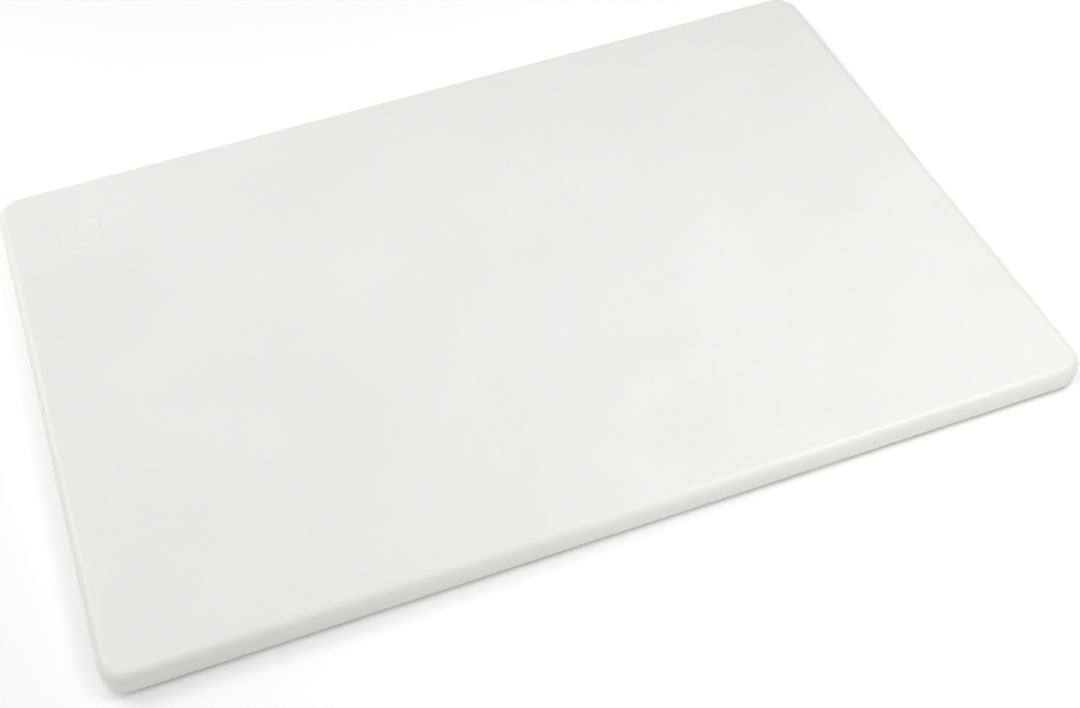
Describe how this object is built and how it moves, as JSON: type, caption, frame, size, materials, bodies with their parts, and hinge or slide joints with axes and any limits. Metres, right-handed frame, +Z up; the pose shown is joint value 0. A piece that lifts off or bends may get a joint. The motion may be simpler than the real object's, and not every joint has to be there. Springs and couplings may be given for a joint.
{
  "type": "cutting board",
  "caption": "Flat rectangular white plastic cutting board with rounded corners and edges, a fine stipple on its working faces and a small sunk emblem in a corner.",
  "frame": {"origin": "middle of the underside, where the board rests on the worktop", "axes": "+X along the long side, +Y along the short side away from the user, +Z up through the thickness; the emblem is on the +Z face in the corner towards -X and +Y"},
  "size_m": [0.4572, 0.3048, 0.0127],
  "materials": {
    "hdpe_white": "milky white high-density polyethylene, satin, with a fine moulded stipple"
  },
  "bodies": {
    "root": {"board": "hdpe_white"}
  },
  "joints": []
}
